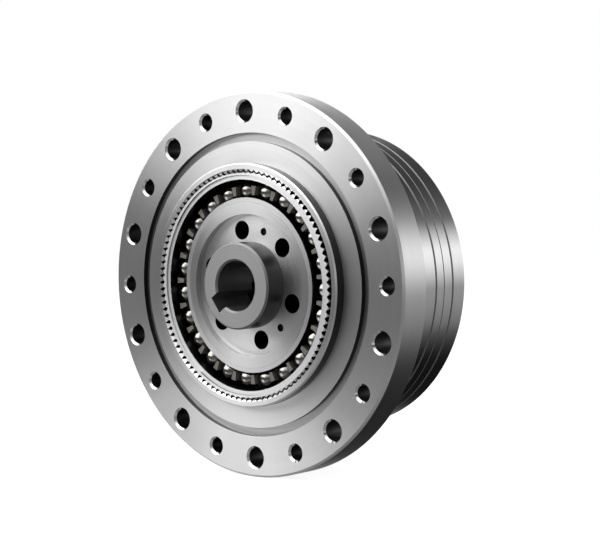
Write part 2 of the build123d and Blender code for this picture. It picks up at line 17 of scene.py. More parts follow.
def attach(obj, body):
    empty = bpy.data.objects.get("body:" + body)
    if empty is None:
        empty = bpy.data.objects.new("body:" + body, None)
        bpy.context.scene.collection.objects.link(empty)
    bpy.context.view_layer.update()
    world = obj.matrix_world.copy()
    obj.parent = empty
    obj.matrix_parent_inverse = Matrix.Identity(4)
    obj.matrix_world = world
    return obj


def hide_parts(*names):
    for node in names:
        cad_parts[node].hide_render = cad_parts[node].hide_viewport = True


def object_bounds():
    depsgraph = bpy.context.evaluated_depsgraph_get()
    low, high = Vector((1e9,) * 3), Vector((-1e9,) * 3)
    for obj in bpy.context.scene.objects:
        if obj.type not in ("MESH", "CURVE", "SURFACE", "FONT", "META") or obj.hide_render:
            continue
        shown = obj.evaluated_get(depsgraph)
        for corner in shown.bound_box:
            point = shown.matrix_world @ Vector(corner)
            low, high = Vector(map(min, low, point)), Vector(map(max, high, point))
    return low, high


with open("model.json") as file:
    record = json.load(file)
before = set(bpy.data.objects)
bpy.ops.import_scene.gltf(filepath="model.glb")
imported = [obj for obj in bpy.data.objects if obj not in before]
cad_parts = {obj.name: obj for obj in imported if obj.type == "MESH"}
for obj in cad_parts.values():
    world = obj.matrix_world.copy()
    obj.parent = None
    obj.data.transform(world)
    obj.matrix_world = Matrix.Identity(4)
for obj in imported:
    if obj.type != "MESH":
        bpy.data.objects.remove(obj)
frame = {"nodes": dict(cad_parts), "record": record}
cad_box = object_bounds()
bpy.ops.object.select_all(action="DESELECT")

# %% [markdown]
# ## Units
#
# The scene is in metres and the gear's drawings are in millimetres, so one small factor turns the
# one into the other. The gear's axis is Y, its input side faces -Y, and angles are counted
# anticlockwise from +X as seen from the front. A ring of holes is written down as the radius of
# its circle, the number of holes and the angle of the first one.

# %% Millimetres, rings of holes and places round the axis
MM = 0.001
FLANGE_HOLES = (48.0, 10, 90)
FLANGE_THREADS = (48.0, 10, 108)
WEB_HOLES = (15.5, 6, 41)
WEB_SCREW_HOLES = (15.5, 3, 71)


def around(radius_mm, angle, depth_mm):
    """A point on a circle round the gear axis, in metres."""
    turn = radians(angle)
    return Vector((radius_mm * cos(turn), depth_mm, radius_mm * sin(turn))) * MM


def hole_centres(circle_mm, count, first_angle):
    """The centres of a ring of holes, in metres."""
    return [around(circle_mm, first_angle + 360 * hole / count, 0) for hole in range(count)]


print("the top flange hole lies at", hole_centres(*FLANGE_HOLES)[0])

# %% [markdown]
# ## Node groups for what the metals share
#
# A lathe tool leaves rings that run round the axis. On a flat face they are circles, and on a
# cylinder they are hoops. A photograph of brushed steel would need its own layout on every piece,
# but one noise that only knows the radius and the depth draws both. A second group holds the soft
# clouds that oil and handling leave on clean steel, and the specks that give a dull skin its
# grain. Both are built once and placed in each material with its own values.

# %% Helpers for node trees


def new_group(name, inputs, outputs):
    """An empty shader node group with named number sockets."""
    group = bpy.data.node_groups.new(name, "ShaderNodeTree")
    for label, value in inputs:
        socket = group.interface.new_socket(label, in_out="INPUT", socket_type="NodeSocketFloat")
        socket.default_value = value
    for label in outputs:
        group.interface.new_socket(label, in_out="OUTPUT", socket_type="NodeSocketFloat")
    return group


def add_node(tree, kind, **settings):
    """A node with its settings, in a group or a material."""
    node = tree.nodes.new(kind)
    for key, value in settings.items():
        setattr(node, key, value)
    return node


def set_inputs(node, values):
    """Write plain numbers and colours on a node's sockets, by the sockets' names."""
    for label, value in values.items():
        node.inputs[label].default_value = value


def work_out(tree, operation, first, *others):
    """The result of a Math node, or of a row of them, on sockets and numbers."""
    for second in others or (None,):
        node = add_node(tree, "ShaderNodeMath", operation=operation)
        for slot, value in enumerate((first, second)):
            if isinstance(value, (int, float)):
                node.inputs[slot].default_value = value
            elif value is not None:
                tree.links.new(value, node.inputs[slot])
        first = node.outputs[0]
    return first


print("node helpers are ready")

# %% Rings left by the lathe tool
DRIFT_REACH = 3.0
turned_rings = new_group(
    "turned_rings", (("Fineness", 3000.0), ("Drift", 12.0)), ("Rings", "Hoops"))
tree = turned_rings
inlet = add_node(tree, "NodeGroupInput")
outlet = add_node(tree, "NodeGroupOutput")
fineness = inlet.outputs["Fineness"]
place = add_node(tree, "ShaderNodeTexCoord")
split = add_node(tree, "ShaderNodeSeparateXYZ")
tree.links.new(place.outputs["Object"], split.inputs[0])
across = work_out(tree, "MULTIPLY", split.outputs["X"], split.outputs["X"])
upward = work_out(tree, "MULTIPLY", split.outputs["Z"], split.outputs["Z"])
radius = work_out(tree, "SQRT", work_out(tree, "ADD", across, upward))
drift = add_node(tree, "ShaderNodeTexNoise")
tree.links.new(place.outputs["Object"], drift.inputs["Vector"])
tree.links.new(inlet.outputs["Drift"], drift.inputs["Scale"])
ring_place = add_node(tree, "ShaderNodeCombineXYZ")
for slot, (value, factor) in enumerate((
        (radius, fineness), (split.outputs["Y"], fineness), (drift.outputs["Fac"], DRIFT_REACH))):
    tree.links.new(work_out(tree, "MULTIPLY", value, factor), ring_place.inputs[slot])
fine = add_node(tree, "ShaderNodeTexNoise")
set_inputs(fine, {"Scale": 1.0, "Detail": 4.0, "Roughness": 0.65})
coarse = add_node(tree, "ShaderNodeTexNoise")
set_inputs(coarse, {"Scale": 0.22, "Detail": 2.0})
for noise, label in ((fine, "Rings"), (coarse, "Hoops")):
    tree.links.new(ring_place.outputs[0], noise.inputs["Vector"])
    tree.links.new(noise.outputs["Fac"], outlet.inputs[label])
print("turned rings:", len(tree.nodes), "nodes")

# %% Clouds of oil and specks of grain
handling = new_group("handling", (("Size", 45.0), ("Specks", 900.0)), ("Clouds", "Specks"))
tree = handling
inlet = add_node(tree, "NodeGroupInput")
outlet = add_node(tree, "NodeGroupOutput")
place = add_node(tree, "ShaderNodeTexCoord")
clouds = add_node(tree, "ShaderNodeTexNoise")
set_inputs(clouds, {"Detail": 5.0, "Roughness": 0.55, "Distortion": 0.4})
specks = add_node(tree, "ShaderNodeTexVoronoi", feature="F1")
for pattern, label in ((clouds, "Size"), (specks, "Specks")):
    tree.links.new(place.outputs["Object"], pattern.inputs["Vector"])
    tree.links.new(inlet.outputs[label], pattern.inputs["Scale"])
speck_mask = add_node(tree, "ShaderNodeMapRange", interpolation_type="SMOOTHSTEP")
set_inputs(speck_mask, {"From Min": 0.05, "From Max": 0.18, "To Min": 1.0, "To Max": 0.0})
tree.links.new(specks.outputs["Distance"], speck_mask.inputs["Value"])
tree.links.new(clouds.outputs["Fac"], outlet.inputs["Clouds"])
tree.links.new(speck_mask.outputs["Result"], outlet.inputs["Specks"])
print("handling:", len(tree.nodes), "nodes")

# %% [markdown]
# ## Turned steel
#
# A turned face smears every highlight across its rings: on a flat face the light fans out from
# the centre in a bow tie, and on a cylinder it draws out into bands along the axis. Thousands of
# real grooves would do this too, but anisotropy does it without a single extra face. Its tangent
# runs round the Y axis, and a quarter turn lays the smear across the rings. One function makes
# each steel, because the pieces differ only in how bright, fine and rough the tool left them. The
# darkest ones aren't darker metals: their dark base colour is painted shade, for walls and holes
# that see little light.

# %% Helpers that each finish uses


def new_material(name):
    """A material, its node tree and its Principled shader."""
    material = bpy.data.materials.new(name)
    material.use_nodes = True
    tree = material.node_tree
    return material, tree, tree.nodes["Principled BSDF"]


def paint_between(tree, shader, mask, first, second):
    """Let a mask move the base colour between two colours."""
    tint = add_node(tree, "ShaderNodeMix", data_type="RGBA")
    set_inputs(tint, {"A": (*first, 1), "B": (*second, 1)})
    tree.links.new(mask, tint.inputs["Factor"])
    tree.links.new(tint.outputs["Result"], shader.inputs["Base Color"])


def roughen(tree, shader, least, *shares):
    """Build the roughness from its least value and from masks, each with its share."""
    parts = [work_out(tree, "MULTIPLY", mask, share) for mask, share in shares]
    tree.links.new(work_out(tree, "ADD", *parts, least), shader.inputs["Roughness"])


def raise_grain(tree, shader, height, strength, depth_mm):
    """Let a mask stand out of the surface by a few thousandths of a millimetre."""
    bump = add_node(tree, "ShaderNodeBump")
    set_inputs(bump, {"Strength": strength, "Distance": depth_mm * MM})
    tree.links.new(height, bump.inputs["Height"])
    tree.links.new(bump.outputs["Normal"], shader.inputs["Normal"])


print("finish helpers are ready")

# %% A function for one turned steel
QUARTER_TURN = 0.25
CLOUDINESS = 0.06
COOL_TINT = 1.005
RING_RELIEF = 0.5


def turned_steel(name, bright, rough, smear, fineness, ring_depth_mm):
    """Steel with lathe rings: brightness, roughness, smear, rings per metre and their depth."""
    material, tree, shader = new_material(name)
    set_inputs(shader, {
        "Metallic": 1.0, "Anisotropic": smear, "Anisotropic Rotation": QUARTER_TURN})
    tangent = add_node(tree, "ShaderNodeTangent", direction_type="RADIAL", axis="Y")
    tree.links.new(tangent.outputs[0], shader.inputs["Tangent"])
    rings = add_node(tree, "ShaderNodeGroup", node_tree=turned_rings)
    rings.inputs["Fineness"].default_value = fineness
    clouds = add_node(tree, "ShaderNodeGroup", node_tree=handling).outputs["Clouds"]
    tone = work_out(tree, "ADD", work_out(tree, "MULTIPLY", rings.outputs["Hoops"], 0.5),
                    work_out(tree, "MULTIPLY", clouds, 0.5))
    low, high = bright * (1 - CLOUDINESS), min(1.0, bright * (1 + CLOUDINESS))
    paint_between(tree, shader, tone, (low, low, low * COOL_TINT), (high, high, high * COOL_TINT))
    roughen(tree, shader, rough * 0.6,
            (rings.outputs["Rings"], rough * 0.5), (clouds, rough * 0.3))
    raise_grain(tree, shader, rings.outputs["Rings"], RING_RELIEF, ring_depth_mm)
    return material


print("turned steel can be made")

# %% Every turned steel on this gear
# Each has its name, brightness, roughness, smear, rings per metre and ring depth.
flange_steel = turned_steel("flange_steel", 0.78, 0.34, 0.85, 2600, 0.006)
barrel_steel = turned_steel("barrel_steel", 0.74, 0.17, 0.7, 2600, 0.004)
plug_steel = turned_steel("plug_steel", 0.82, 0.3, 0.8, 3200, 0.006)
# A dark base colour, painted shade for the hub's side.
hub_side_shade_steel = turned_steel("hub_side_shade_steel", 0.1, 0.5, 0.3, 3200, 0.004)
hub_face_steel = turned_steel("hub_face_steel", 0.38, 0.6, 0.1, 3200, 0.006)
# A darker base colour, painted shade for the bore's wall.
bore_shade_steel = turned_steel("bore_shade_steel", 0.4, 0.34, 0.5, 2600, 0.006)
race_steel = turned_steel("race_steel", 0.7, 0.2, 0.6, 4200, 0.003)
cup_steel = turned_steel("cup_steel", 0.6, 0.3, 0.3, 2400, 0.008)
output_steel = turned_steel("output_steel", 0.74, 0.32, 0.8, 2600, 0.006)
lapped_steel = turned_steel("lapped_steel", 0.85, 0.5, 0.4, 3600, 0.003)
inner_face_steel = turned_steel("inner_face_steel", 0.66, 0.42, 0.6, 3600, 0.003)
groove_steel = turned_steel("groove_steel", 0.6, 0.34, 0.85, 2600, 0.006)
tooth_steel = turned_steel("tooth_steel", 0.82, 0.26, 0.0, 3600, 0.002)
edge_steel = turned_steel("edge_steel", 0.85, 0.16, 0.0, 3600, 0.002)
# A dark base colour, painted shade for the walls of grooves, teeth and rings that see little light.
painted_shade_steel = turned_steel("painted_shade_steel", 0.04, 0.3, 0.2, 2400, 0.006)
# A dark base colour, painted shade for the walls of holes.
hole_shade_steel = turned_steel("hole_shade_steel", 0.09, 0.42, 0.2, 1800, 0.012)
seam_steel = turned_steel("seam_steel", 0.26, 0.5, 0.1, 3600, 0.003)
# A darker base colour, painted shade for the plug's recess wall.
recess_shade_steel = turned_steel("recess_shade_steel", 0.45, 0.5, 0.2, 2600, 0.006)
pin_steel = turned_steel("pin_steel", 0.7, 0.16, 0.2, 5200, 0.002)
print("turned steels:", sum(item.name.endswith("_steel") for item in bpy.data.materials))

# %% [markdown]
# ## Balls, black screws, resin and rubber
#
# The balls are polished like mirrors under a thin film of oil, so they get no rings and hardly any
# roughness. The screws have a black oxide skin that is slightly mottled. The cage is a grey-brown
# resin with a fine grain from its mould, and the seals are dull black rubber. These three differ
# in colour and grain and not in kind, so one function makes them all.

# %% Polished ball steel
ball_steel, tree, shader = new_material("ball_steel")
shader.inputs["Metallic"].default_value = 1.0
marks = add_node(tree, "ShaderNodeGroup", node_tree=handling)
marks.inputs["Size"].default_value = 260.0
film = marks.outputs["Clouds"]
paint_between(tree, shader, film, (0.34, 0.33, 0.31), (0.42, 0.41, 0.39))
roughen(tree, shader, 0.04, (film, 0.08))
print(ball_steel.name, "is ready")

# %% A function for the dull finishes
CLOUD_TO_GRAIN = 12
GRAIN_RELIEF = 0.6


def dull_finish(name, dark, light, rough, grain_scale, grain_depth_mm, metallic=0.0):
    """A mottled finish with a fine grain: two colours, roughness, grain size and depth."""
    material, tree, shader = new_material(name)
    shader.inputs["Metallic"].default_value = metallic
    marks = add_node(tree, "ShaderNodeGroup", node_tree=handling)
    set_inputs(marks, {"Size": grain_scale / CLOUD_TO_GRAIN, "Specks": grain_scale})
    clouds = marks.outputs["Clouds"]
    paint_between(tree, shader, clouds, dark, light)
    roughen(tree, shader, rough * 0.8, (clouds, rough * 0.4))
    raise_grain(tree, shader, marks.outputs["Specks"], GRAIN_RELIEF, grain_depth_mm)
    return material


black_oxide = dull_finish(
    "black_oxide", (0.02, 0.02, 0.022), (0.05, 0.05, 0.054), 0.32, 2400, 0.004, metallic=0.9)
cage_resin = dull_finish(
    "cage_resin", (0.075, 0.067, 0.056), (0.13, 0.116, 0.098), 0.42, 3200, 0.004)
cage_shade = dull_finish(
    "cage_shade", (0.03, 0.028, 0.024), (0.055, 0.05, 0.044), 0.5, 3200, 0.004)
seal_rubber = dull_finish(
    "seal_rubber", (0.014, 0.014, 0.015), (0.03, 0.03, 0.032), 0.62, 2600, 0.01)
print("dull finishes are ready")

# %% [markdown]
# ## Which piece wears which finish
#
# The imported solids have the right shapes, so most of them stay. Their meshes are loose triangles
# with flat shading, which breaks a turned highlight into facets. A visible piece is therefore
# copied, its loose corners are merged, and faces that meet at a shallow angle are shaded as one
# smooth surface while sharp edges stay sharp. The copy then stands for the solid. What never
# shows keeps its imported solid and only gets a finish.

# %% Finishes by node
finish_of = {
    "circular_spline": flange_steel,
    "bearing_housing": barrel_steel,
    "front_race_ring": barrel_steel,
    "rear_race_ring": barrel_steel,
    "seal_carrier": barrel_steel,
    "housing_pins": pin_steel,
    "flexspline_dowels": pin_steel,
    "cross_rollers": pin_steel,
    "housing_seal_ring": seal_rubber,
    "output_seal": seal_rubber,
    "tie_screws": black_oxide,
    "plug_screws": black_oxide,
    "flexspline_bolts": black_oxide,
    "flexspline": cup_steel,
    "wave_bearing_outer_ring": race_steel,
    "wave_bearing_inner_ring": race_steel,
    "wave_bearing_balls": ball_steel,
    "wave_bearing_cage": cage_resin,
    "roller_spacers": cage_resin,
    "wave_plug": plug_steel,
    "input_hub": plug_steel,
    "output_flange": output_steel,
    "output_cap": race_steel,
    "flexspline_clamp_ring": output_steel,
}
for node, finish in finish_of.items():
    solid = frame["nodes"][node]
    solid.data.materials.clear()
    solid.data.materials.append(finish)
print("finished nodes:", len(finish_of))

# %% Bodies from the record
body_of = {
    node: body
    for body, members in frame["record"]["behaviour"]["bodies"].items()
    for node in members
}

# %% A smooth copy of a turned solid
SHARP_ANGLE = radians(32)
MERGE_DISTANCE = 0.000001


def choose(piece):
    """Make a piece the only selected and active one."""
    bpy.ops.object.select_all(action="DESELECT")
    piece.select_set(True)
    bpy.context.view_layer.objects.active = piece


def smooth_copy(node):
    """Copy a solid, merge its loose corners, and shade it smooth between its sharp edges."""
    mesh = frame["nodes"][node].data.copy()
    piece = bpy.data.objects.new(node + "_finished", mesh)
    bpy.context.scene.collection.objects.link(piece)
    choose(piece)
    if mesh.has_custom_normals:
        bpy.ops.mesh.customdata_custom_splitnormals_clear()
    bpy.ops.object.mode_set(mode="EDIT")
    bpy.ops.mesh.select_all(action="SELECT")
    bpy.ops.mesh.remove_doubles(threshold=MERGE_DISTANCE)
    bpy.ops.object.mode_set(mode="OBJECT")
    bpy.ops.object.shade_smooth_by_angle(angle=SHARP_ANGLE)
    piece.select_set(False)
    return piece


print("solids can be copied")

# %% Stand-ins for the solids that show


def stand_in(piece, node):
    """Let a piece stand for a solid: it rides on its body, and the solid is hidden."""
    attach(piece, body_of[node])
    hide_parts(node)


shown = [
    "circular_spline", "bearing_housing", "front_race_ring", "rear_race_ring", "seal_carrier",
    "flexspline", "wave_bearing_outer_ring", "wave_bearing_inner_ring", "wave_bearing_balls",
    "wave_bearing_cage", "wave_plug", "input_hub", "output_flange", "output_cap", "output_seal",
    "tie_screws", "plug_screws",
]
pieces = {}
for node in shown:
    piece = smooth_copy(node)
    stand_in(piece, node)
    pieces[node] = piece
    print(node, "triangles:", len(piece.data.polygons))

# %% [markdown]
# ## Broken tooth ends
#
# Seen from the front, the ends of the teeth don't lie flat. Both rows are broken at 45 degrees,
# the outer row inwards and the inner row outwards, which is why one side of the mesh looks black
# and the other sparkles. Two hundred small ends could be bevelled one by one. A lathe breaks them
# all in one pass, and so does this: a ring with a slanting side is turned round the axis and cut
# from each row.

# %% Turn a cutting ring
RING_SEGMENTS = 192


def turned_ring(name, corners):
    """A closed ring round the gear axis from its (radius, depth) corners in millimetres."""
    radius, depth = corners[0]
    bpy.ops.object.select_all(action="DESELECT")
    bpy.ops.mesh.primitive_circle_add(
        vertices=RING_SEGMENTS, radius=radius * MM, rotation=(pi / 2, 0, 0))
    ring = bpy.context.object
    ring.name = name
    bpy.ops.object.transform_apply(location=True, rotation=True, scale=True)
    bpy.ops.object.mode_set(mode="EDIT")
    bpy.ops.mesh.select_all(action="SELECT")
    bpy.ops.transform.translate(value=(0, depth * MM, 0))
    for next_radius, next_depth in corners[1:] + corners[:1]:
        bpy.ops.mesh.extrude_region_move(
            TRANSFORM_OT_translate={"value": (0, (next_depth - depth) * MM, 0)})
        growth = next_radius / radius
        bpy.ops.transform.resize(
            value=(growth, 1, growth), center_override=(0, next_depth * MM, 0))
        radius, depth = next_radius, next_depth
    bpy.ops.mesh.select_all(action="SELECT")
    bpy.ops.mesh.remove_doubles(threshold=MERGE_DISTANCE)
    bpy.ops.mesh.normals_make_consistent(inside=False)
    bpy.ops.object.mode_set(mode="OBJECT")
    return ring


print("cutting rings can be turned")

# %% Cut a ring away


def cut_away(piece, cutter):
    """Cut one object from a piece, drop it, and shade the piece anew."""
    choose(piece)
    cut = piece.modifiers.new("cut", "BOOLEAN")
    cut.operation = "DIFFERENCE"
    cut.solver = "EXACT"
    cut.object = cutter
    bpy.ops.object.modifier_apply(modifier=cut.name)
    bpy.data.objects.remove(cutter)
    bpy.ops.object.shade_smooth_by_angle(angle=SHARP_ANGLE)
    piece.select_set(False)


print("rings can be cut away")

# %% Break both rows of teeth
# The first two corners of each ring are the ends of its slanting side.
tooth_cutters = {
    "circular_spline": ("outer_tooth_cutter", [
        (32.18, -3.3), (31.13, -2.25), (29.0, -2.25), (29.0, -3.3)]),
    "flexspline": ("inner_tooth_cutter", [
        (30.8, -3.1), (31.7, -2.2), (33.0, -2.2), (33.0, -3.1)]),
}
for node, (name, corners) in tooth_cutters.items():
    cut_away(pieces[node], turned_ring(name, corners))
    print(node, "polygons after the cut:", len(pieces[node].data.polygons))

# %% [markdown]
# ## Walls, edges and painted shade
#
# One turned piece shows several surfaces. The walls of holes, grooves and teeth, the bore, the
# hub's side and the plug's recess lie in the dark, and their darker base colour is painted shade.
# The broken edges of the holes are bright, the edges where two rings meet are dull, and the hub's
# end is ground evenly. Cutting a piece up for them would leave gaps, so each keeps its one mesh,
# and its faces get their finishes one by one, found by their place on the gear and by the way they
# face.

# %% Find faces by direction
# The limits are shares of a face's normal that lie along the axis: 0 on a wall, 1 on an end.
WALL_LIMIT = 0.5
CHAMFER_LIMIT = 0.9
FRONT_LIMIT = 0.95


def is_wall(face):
    """Whether a face runs along the gear axis."""
    return abs(face.normal.y) < WALL_LIMIT


def is_chamfer(face):
    """Whether a face is a broken edge that looks forwards."""
    return -CHAMFER_LIMIT < face.normal.y < -WALL_LIMIT


def is_front(face):
    """Whether a face looks straight forwards."""
    return face.normal.y < -FRONT_LIMIT


print("faces can be told by direction")

# %% Find faces by place


def in_ring(radii, depths):
    """A test for faces between two radii and two depths, in millimetres."""
    def test(face):
        middle = face.center / MM
        radius = (middle.x ** 2 + middle.z ** 2) ** 0.5
        return radii[0] < radius < radii[1] and depths[0] < middle.y < depths[1]
    return test


def in_holes(holes, reach):
    """A test for faces within reach of the centres of a ring of holes, in millimetres."""
    centres = hole_centres(*holes)

    def test(face):
        return any(
            Vector((face.center.x - centre.x, 0, face.center.z - centre.z)).length < reach * MM
            for centre in centres)
    return test


print("faces can be told by place")

# %% Give faces their finishes


def dress(node, rows):
    """Give the faces of a piece their own finishes: each row is finish, direction and place."""
    piece = pieces[node]
    for finish, faces_so, lies_so in rows:
        piece.data.materials.append(finish)
        slot = len(piece.data.materials) - 1
        found = [face for face in piece.data.polygons if faces_so(face) and lies_so(face)]
        for face in found:
            face.material_index = slot
        print(node, "faces in", finish.name + ":", len(found))


print("pieces can be dressed")

# %% Flange: hole walls, bright hole edges, groove, teeth and the raised ring's side
GROOVE = (39.55, 42.1)
dress("circular_spline", (
    # The walls of the holes and threads in painted shade, and their broken edges
    (hole_shade_steel, is_wall, in_holes(FLANGE_HOLES, reach=2.8)),
    (hole_shade_steel, is_wall, in_holes(FLANGE_THREADS, reach=2.15)),
    (edge_steel, is_chamfer, in_holes(FLANGE_HOLES, reach=3.4)),
    (edge_steel, is_chamfer, in_holes(FLANGE_THREADS, reach=2.8)),
    # The floor of the groove, and its walls in painted shade
    (groove_steel, is_front, in_ring(radii=GROOVE, depths=(1.5, 1.7))),
    (painted_shade_steel, is_wall, in_ring(radii=GROOVE, depths=(0.05, 1.55))),
    # The teeth and the raised ring's side in painted shade, and the broken tooth ends
    (painted_shade_steel, is_wall, in_ring(radii=(30.0, 32.3), depths=(-3.15, 12.0))),
    (painted_shade_steel, is_wall, in_ring(radii=(33.3, 34.0), depths=(-2.9, 0.0))),
    (tooth_steel, is_chamfer, in_ring(radii=(31.0, 32.4), depths=(-3.3, -2.0))),
))

# %% Barrel: dull edges where its rings meet
for node in ("front_race_ring", "rear_race_ring", "seal_carrier"):
    dress(node, ((seam_steel, is_chamfer, in_ring(radii=(42.0, 43.1), depths=(9.0, 45.0))),))

# %% Cup and ball bearing: walls in painted shade between pale front faces
dress("flexspline", (
    (painted_shade_steel, is_wall, in_ring(radii=(30.0, 32.5), depths=(-2.95, 9.0))),
    (lapped_steel, is_front, in_ring(radii=(28.0, 32.0), depths=(-3.1, -2.9))),
    (tooth_steel, is_chamfer, in_ring(radii=(30.0, 32.0), depths=(-3.1, -2.0))),
))
dress("wave_bearing_outer_ring", (
    (painted_shade_steel, is_wall, in_ring(radii=(26.0, 30.0), depths=(-2.5, 7.0))),
    (lapped_steel, is_front, in_ring(radii=(26.0, 31.0), depths=(-2.6, -2.5))),
))
dress("wave_bearing_inner_ring", (
    (painted_shade_steel, is_wall, in_ring(radii=(22.0, 26.0), depths=(-1.0, 7.0))),
    (inner_face_steel, is_front, in_ring(radii=(22.0, 26.0), depths=(-1.0, -0.9))),
))
dress("wave_bearing_cage", (
    (cage_shade, is_wall, in_ring(radii=(20.0, 30.0), depths=(-0.7, 8.0))),
))

# %% Plug and hub: recess, ground end, dull edges, bore and the holes in the web
dress("wave_plug", (
    # The recess and the holes behind the web, in painted shade
    (recess_shade_steel, is_wall, in_ring(radii=(19.5, 21.5), depths=(-0.9, 8.0))),
    (painted_shade_steel, is_wall, in_holes(WEB_HOLES, reach=2.8)),
))
dress("input_hub", (
    # The ground end, its edges, and the side in painted shade
    (hub_face_steel, is_front, in_ring(radii=(6.9, 12.1), depths=(-6.1, -5.5))),
    (seam_steel, is_chamfer, in_ring(radii=(6.5, 12.1), depths=(-6.1, -5.0))),
    (hub_side_shade_steel, is_wall, in_ring(radii=(11.9, 12.1), depths=(-5.6, 0.0))),
    # The bore with its keyway, and the holes in the web, all in painted shade
    (bore_shade_steel, is_wall, in_ring(radii=(0.0, 9.5), depths=(-6.1, 9.0))),
    (painted_shade_steel, is_wall, in_holes(WEB_HOLES, reach=2.8)),
    (painted_shade_steel, is_wall, in_holes(WEB_SCREW_HOLES, reach=1.5)),
))

# %% [markdown]
# ## The camera
#
# The photograph looks at the input side from its right and a little above, with a long lens. The
# angles and the distance come from fitting the flange's circles, its holes and the barrel's seams,
# which is surer than turning a camera by eye until the outlines meet.

# %% Camera
yaw, pitch, roll = radians(-40.805), radians(2.93), radians(-0.211)
shift_right, shift_up, distance = -13.652, -1.391, 455.371
axis_offset = -0.35
focal_pixels = 1647.153
photo_width = 600
sensor_width = 36

turned = (
    Matrix.Rotation(yaw, 3, "Y") @ Matrix.Rotation(pitch, 3, "X") @ Matrix.Rotation(roll, 3, "Z")
)
to_row = Matrix(((1, 0, 0), (0, 0, -1), (0, 1, 0)))
look = to_row @ turned.transposed()
eye = look @ Vector((-shift_right, -shift_up, distance)) - Vector((axis_offset, 0, 0))
bpy.ops.object.camera_add()
camera = bpy.context.object
camera.name = "photo_camera"
camera.matrix_world = Matrix.Translation(eye * MM) @ look.to_4x4()
camera.data.lens = focal_pixels * sensor_width / photo_width
camera.data.sensor_width = sensor_width
camera.data.clip_start = 0.01
bpy.context.scene.camera = camera
print("camera at", [round(value, 4) for value in camera.matrix_world.translation])

# %% [markdown]
# ## The studio
#
# Bare steel shows its room more than its own colour. The photograph's room can be read from the
# highlights: light above and below on the left, a dark belt at eye level, and behind the gear, to
# the right, a light wall over a dark floor, with a dark corner beside it. Lamps strong enough to
# draw all this would burn out everything else, so a shell round the scene carries those tones for
# reflections alone. The camera sees a plain white room and a pale floor that keeps the gear's
# shadow, and soft lamps light what isn't metal.

# %% White room
scene = bpy.context.scene
scene.view_settings.view_transform = "Standard"


def seen_by(tree, *rays):
    """A share that is 1 for the named kinds of ray and 0 for all others."""
    seen = add_node(tree, "ShaderNodeLightPath")
    return work_out(tree, "MAXIMUM", *(seen.outputs[ray] for ray in rays))


def mix_shaders(tree, share, first, second, result):
    """Show the first shader where the share is 0 and the second where it is 1."""
    mixer = add_node(tree, "ShaderNodeMixShader")
    for slot, socket in enumerate((share, first, second)):
        tree.links.new(socket, mixer.inputs[slot])
    tree.links.new(mixer.outputs[0], result)


room = bpy.data.worlds.new("room")
scene.world = room
room.cycles.sampling_method = "NONE"
room.use_nodes = True
tree = room.node_tree
tree.nodes.clear()
white = add_node(tree, "ShaderNodeBackground")
white.inputs["Color"].default_value = (1, 1, 1, 1)
fill = add_node(tree, "ShaderNodeBackground")
fill.inputs["Color"].default_value = (0.5, 0.5, 0.5, 1)
result = add_node(tree, "ShaderNodeOutputWorld")
shown_rays = seen_by(tree, "Is Camera Ray", "Is Glossy Ray", "Is Transmission Ray")
mix_shaders(tree, shown_rays, fill.outputs[0], white.outputs[0], result.inputs[0])
print("white room is ready")

# %% Floor
FLOOR_SIZE = 6
FLOOR_GLOW = 1.26
GLOW_SHARE = 0.7
floor_height = cad_box[0][2]
bpy.ops.mesh.primitive_plane_add(size=FLOOR_SIZE, location=(0, 0, floor_height))
floor = bpy.context.object
floor.name = "floor"
floor.visible_glossy = False
floor_paint, tree, shader = new_material("floor_paint")
set_inputs(shader, {
    "Base Color": (0.9, 0.9, 0.9, 1), "Roughness": 0.9, "Specular IOR Level": 0.0})
glow = add_node(tree, "ShaderNodeEmission")
glow.inputs["Strength"].default_value = FLOOR_GLOW
glow_share = work_out(tree, "MULTIPLY", seen_by(tree, "Is Camera Ray", "Is Glossy Ray"), GLOW_SHARE)
surface = tree.nodes["Material Output"].inputs["Surface"]
mix_shaders(tree, glow_share, shader.outputs[0], glow.outputs[0], surface)
floor.data.materials.append(floor_paint)
print("floor at", round(floor_height, 4))

# %% Tones for the reflection shell


def tone_by_height(tree, height, steps):
    """A ramp of greys from the floor, at -1, up to the ceiling, at 1."""
    ramp = add_node(tree, "ShaderNodeValToRGB")
    points = ramp.color_ramp.elements
    while len(points) < len(steps):
        points.new(0.5)
    for point, (level, grey) in zip(points, steps):
        point.position = (level + 1) / 2
        point.color = (grey, grey, grey, 1)
    place = add_node(tree, "ShaderNodeMapRange")
    place.inputs["From Min"].default_value = -1.0
    tree.links.new(height, place.inputs["Value"])
    tree.links.new(place.outputs["Result"], ramp.inputs[0])
    return ramp.outputs["Color"]


def even_tone(tree, grey):
    """One grey all over."""
    tone = add_node(tree, "ShaderNodeRGB")
    tone.outputs[0].default_value = (grey, grey, grey, 1)
    return tone.outputs[0]


def mix_tones(tree, share, first, second):
    """The first tone where the share is 0, the second where it is 1."""
    mixer = add_node(tree, "ShaderNodeMix", data_type="RGBA")
    tree.links.new(share, mixer.inputs["Factor"])
    tree.links.new(first, mixer.inputs["A"])
    tree.links.new(second, mixer.inputs["B"])
    return mixer.outputs["Result"]


def ease(tree, value, low, high):
    """A soft step from 0 to 1 between two values."""
    step = add_node(tree, "ShaderNodeMapRange", interpolation_type="SMOOTHSTEP")
    set_inputs(step, {"From Min": low, "From Max": high})
    tree.links.new(value, step.inputs["Value"])
    return step.outputs["Result"]


def share_in(tree, value, rise, full, fall, end):
    """A share that is 1 between two values and fades out on both sides."""
    falling = work_out(tree, "SUBTRACT", 1.0, ease(tree, value, fall, end))
    return work_out(tree, "MULTIPLY", ease(tree, value, rise, full), falling)


print("tone helpers are ready")

# %% [markdown]
# ## Directions on the shell
#
# Each point of the shell is named by its height, from -1 to 1, and by its direction on the ground.
# The flat front faces mirror the shell's left side to the camera, and the sides of the rim and
# the barrel mirror its right side, so the two sides get their own ramps of grey. Windows and the
# dark corner are then laid over them, each with soft edges.

